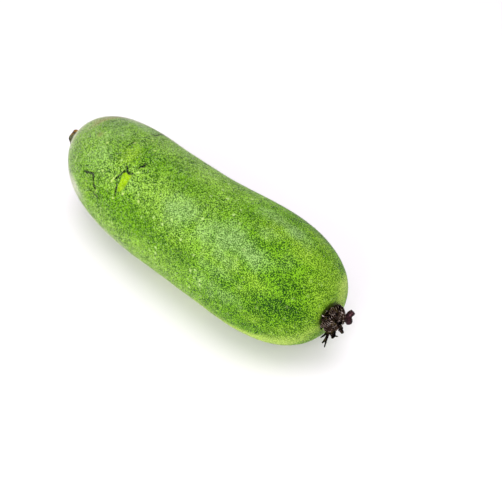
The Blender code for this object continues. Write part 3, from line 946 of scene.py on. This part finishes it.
def skin_covers(look):
    """The painted tints of the skin, with natural, uneven edges."""
    uneven = look.noise(8 * MM, 3, 0.6)
    covers = {}
    for name, raggedness in PATCH_RAGGEDNESS.items():
        painted = look.attribute(name)
        wobble = look.add(painted, look.swing(uneven, raggedness))
        covers[name] = look.times(look.fade(wobble, 0.1, 0.9), look.fade(painted, 0.02, 0.3))
    return covers


def skin_maze(look):
    """The fine maze under the mottle, a little coarser in the half with the stem."""
    lengthwise = look.node("ShaderNodeSeparateXYZ", {0: look.place}).outputs[0]
    fine, coarse = (look.noise(size * MM, 1.5, 0.6, 0.2) for size in (0.56, 0.74))
    halves = {0: look.fade(lengthwise, 15 * MM, -15 * MM), 2: fine, 3: coarse}
    return look.node("ShaderNodeMix", halves, data_type="FLOAT").outputs[0]


def skin_mottle(look, maze, dark):
    """Where the skin is light green, 1, and where deep green, 0: in clumps, and less where dark."""
    clumps = look.swing(look.noise(2.6 * MM, 2, 0.6), 0.22)
    broad = look.swing(look.noise(30 * MM, 3, 0.55), 0.16)
    shift = look.add(look.add(clumps, broad), look.times(dark, -0.05))
    return look.fade(look.add(maze, shift), 0.452, 0.568)


def skin_specks(look):
    """Small pale specks scattered over the skin, fainter where it has no wax."""
    cells = look.node("ShaderNodeTexVoronoi", {"Vector": look.place, "Scale": 1 / (4.1 * MM)})
    drawn = look.node("ShaderNodeSeparateColor", {0: cells.outputs["Color"]}).outputs[0]
    waxy = look.fade(look.attribute("veil"), 0.0, 0.5, 0.25, 1.0)
    chosen = look.times(look.fade(drawn, 0.5, 0.85), waxy)
    far = look.add(cells.outputs["Distance"], look.swing(look.noise(0.7 * MM, 1), 0.5))
    return look.times(look.fade(far, 0.10, 0.30, 1.0, 0.0), chosen)


def with_marks(look, skin):
    """The skin's colour with the scratches, pale spots, the scrape with painted shade at its edge,
    and the dark ring round the flower, partly scar and partly painted contact shade.
    """
    wobble = look.swing(look.noise(1.5 * MM, 3, 0.6), 2.4)
    scratch = look.add(look.attribute("scratch"), wobble)
    uneven = look.add(scratch, look.swing(look.noise(2.2 * MM, 1), 1.3))
    breaks = look.fade(look.noise(0.9 * MM, 2), 0.26, 0.38)
    line = look.times(look.fade(uneven, 0.36, 0.84, 1.0, 0.0), breaks)
    spot = look.add(look.attribute("spot"), look.times(wobble, 0.6))
    scrape = look.add(look.attribute("scrape"), look.times(wobble, 0.4))
    flesh = look.mix(look.fade(look.noise(1.8 * MM, 3), 0.3, 0.7), *FLESH)
    for share, colour in (
        (look.fade(scratch, 0.5, 1.8, 0.5, 0.0), SCRATCH_SIDE),
        (look.fade(spot, 0.35, 1.2, 0.8, 0.0), SPOT),
        # darker just outside the scrape: torn edge, and painted shade under its lip
        (look.fade(scrape, -0.9, -0.1, 0.0, 0.5), SCRAPE_EDGE_AND_SHADE),
        (look.fade(scrape, -0.15, 0.4), flesh),
        (line, SCRATCH),
        # painted contact shade round the flower, with its scar
        (look.fade(look.attribute("scar"), 0.2, 0.9, 0.0, 0.85), SCAR_AND_CONTACT_SHADE),
    ):
        skin = look.mix(share, skin, colour)
    return skin


def skin_look():
    look = Look("gourd_skin", 0.55, 0.07)
    look.shader.inputs["Sheen Weight"].default_value = 0.08
    look.shader.inputs["Sheen Roughness"].default_value = 0.15

    covers = skin_covers(look)
    # The mottle runs between a deep and a light green, and both change from place to place
    deep, light = (look.mix(covers["veil"], *tones) for tones in zip(BARE_GREENS, VEILED_GREENS))
    for name, (deep_there, light_there) in PATCH_GREENS.items():
        deep = look.mix(covers[name], deep, deep_there)
        light = look.mix(covers[name], light, light_there)
    maze = skin_maze(look)
    mottle = skin_mottle(look, maze, covers["dark"])
    skin = look.mix(mottle, deep, light)

    # The white wax, with painted rim sheen along the edges, broken up by noise
    frost_and_rim_sheen = look.times(covers["frost_and_rim_sheen"], look.fade(look.noise(1.1 * MM, 3, 0.6), 0.3, 0.6, 0.5, 1.0))
    frost_and_rim_sheen = look.times(frost_and_rim_sheen, look.fade(mottle, 0.0, 1.0, 0.62, 0.85))
    specks = skin_specks(look)
    skin = look.mix(frost_and_rim_sheen, skin, FROST_AND_RIM_SHEEN_WHITE)
    skin = look.mix(look.times(covers["tan"], 0.8), skin, TAN)
    skin = look.mix(look.times(specks, 0.75), skin, SPECK)
    skin = with_marks(look, skin)

    grain = look.noise(0.8 * MM, 2, 0.6)
    roughness = look.fade(grain, 0.3, 0.7, 0.45, 0.62)
    look.tree.links.new(roughness, look.shader.inputs["Roughness"])
    return look.finish(skin, ((maze, 0.09 * MM), (specks, 0.10 * MM), (grain, 0.04 * MM)))


def down_look(down):
    look = Look(down.name, 0.6, 0.3)
    return look.finish(look.mix(look.noise(12 * MM), down.dull, down.bright))


def cork_look():
    look = Look("corky_stem", 0.8, 0.3)
    streaks = look.noise(1.1 * MM, 3, 0.65, stretch=(0.3, 1.0, 1.0))
    colour = look.mix(look.fade(streaks, 0.40, 0.64), *CORK_BROWNS)
    olive = look.mix(look.fade(streaks, 0.36, 0.62), *CORK_OLIVES)
    green = look.mix(look.fade(streaks, 0.3, 0.7), *COLLAR_GREENS)
    pith = look.mix(look.fade(look.noise(0.7 * MM, 2), 0.35, 0.65), *PITH)
    below = look.add(look.attribute("under"), look.swing(look.noise(4.5 * MM, 3, 0.6), 1.0))
    colour = look.mix(look.fade(below, 0.5, 0.75), colour, olive)
    colour = look.mix(look.fade(look.attribute("cut"), 0.3, 0.55), colour, pith)
    colour = look.mix(look.fade(look.attribute("collar"), 0.25, 0.8, 0.0, 0.85), colour, green)
    return look.finish(colour, ((streaks, 0.45 * MM), (look.noise(0.35 * MM, 2), 0.12 * MM)))


def petal_look():
    look = Look("dried_petals", 0.6, 0.03)
    crest = look.attribute("crest")
    grain = look.noise(0.8 * MM, 3, 0.6, stretch=(0.4, 1.0, 1.0))
    broad = look.noise(2.2 * MM, 2)
    rise = look.add(crest, look.swing(grain, 0.9))
    olive = look.times(look.fade(look.noise(3.1 * MM, 1), 0.60, 0.70, 0.0, 0.5), crest)
    # pale spots on the highest crests: painted highlights
    painted_highlight = look.times(look.fade(rise, 0.84, 0.96), look.fade(broad, 0.64, 0.50, 0.0, 0.9))
    # near black in the valleys of the wrinkles as painted shade, brown on the crests
    colour = look.mix(look.fade(rise, 0.58, 0.95), *PETAL_BROWNS)
    colour = look.mix(look.fade(broad, 0.52, 0.66, 0.0, 0.5), colour, PETAL_RED)
    colour = look.mix(olive, colour, PETAL_OLIVE)
    colour = look.mix(painted_highlight, colour, PETAL_HIGHLIGHT)
    return look.finish(colour, ((grain, 0.25 * MM),))


def lobe_look():
    look = Look("dried_lobes", 0.45, 0.1)
    grain = look.noise(0.8 * MM, 3, 0.6, stretch=(0.5, 1.0, 1.0))
    facing = look.fade(look.attribute("facing"), 0.90, 0.99)
    stripe = look.times(facing, look.fade(grain, 0.42, 0.58, 0.0, 0.6))
    colour = look.mix(look.fade(grain, 0.3, 0.7), *LOBE_REDS)
    colour = look.mix(stripe, colour, LOBE_STRIPE)
    return look.finish(colour, ((grain, 0.22 * MM),))


def floor_look():
    look = Look("pale_floor", 0.7, 0.2)
    return look.finish(look.mix(look.noise(0.4, 2), *FLOOR_WHITES))


# Setting

def make_floor():
    square = ((-1, -1), (1, -1), (1, 1), (-1, 1))
    corners = [(x * FLOOR_REACH, y * FLOOR_REACH, 0) for x, y in square]
    mesh = bpy.data.meshes.new("floor")
    mesh.from_pydata(corners, [], [(0, 1, 2, 3)])
    mesh.materials.append(floor_look())
    floor = bpy.data.objects.new("floor", mesh)
    bpy.context.scene.collection.objects.link(floor)


def soft_light(name, place, size, power):
    """A round lamp that faces the origin."""
    lamp = bpy.data.lights.new(name, "AREA")
    lamp.shape = "DISK"
    lamp.size = size
    lamp.energy = power
    obj = bpy.data.objects.new(name, lamp)
    obj.location = place
    obj.rotation_euler = (-Vector(place)).to_track_quat("-Z", "Y").to_euler()
    bpy.context.scene.collection.objects.link(obj)


def make_lights():
    world = bpy.data.worlds.new("studio")
    world.use_nodes = True
    background = world.node_tree.nodes["Background"]
    background.inputs["Color"].default_value = (1.0, 1.0, 1.0, 1)
    background.inputs["Strength"].default_value = WORLD_STRENGTH
    bpy.context.scene.world = world
    for light in LIGHTS:
        soft_light(*light)


def make_camera(shift):
    camera = bpy.data.objects.new("camera", bpy.data.cameras.new("camera"))
    camera.data.lens = CAMERA_LENS
    camera.data.sensor_width = CAMERA_SENSOR
    camera.location = CAMERA_PLACE + shift
    camera.rotation_euler = (math.radians(CAMERA_TILT), 0, math.radians(CAMERA_TURN))
    bpy.context.scene.collection.objects.link(camera)
    bpy.context.scene.camera = camera


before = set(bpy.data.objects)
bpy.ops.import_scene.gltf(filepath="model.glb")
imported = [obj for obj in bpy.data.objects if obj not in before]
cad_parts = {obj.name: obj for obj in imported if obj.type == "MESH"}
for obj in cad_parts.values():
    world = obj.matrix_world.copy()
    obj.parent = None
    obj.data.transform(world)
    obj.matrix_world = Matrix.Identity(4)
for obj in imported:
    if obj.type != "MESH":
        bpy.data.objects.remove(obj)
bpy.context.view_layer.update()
bpy.context.scene.view_settings.view_transform = "Standard"
shift = frame_shift()
make_camera(shift)
make_lights()
make_floor()
make_skin(shift, skin_look())
for down in DOWNS:
    make_down(shift, down_look(down), down)
make_stem(shift, cork_look())
make_flower(shift, petal_look())
make_style(shift, lobe_look())
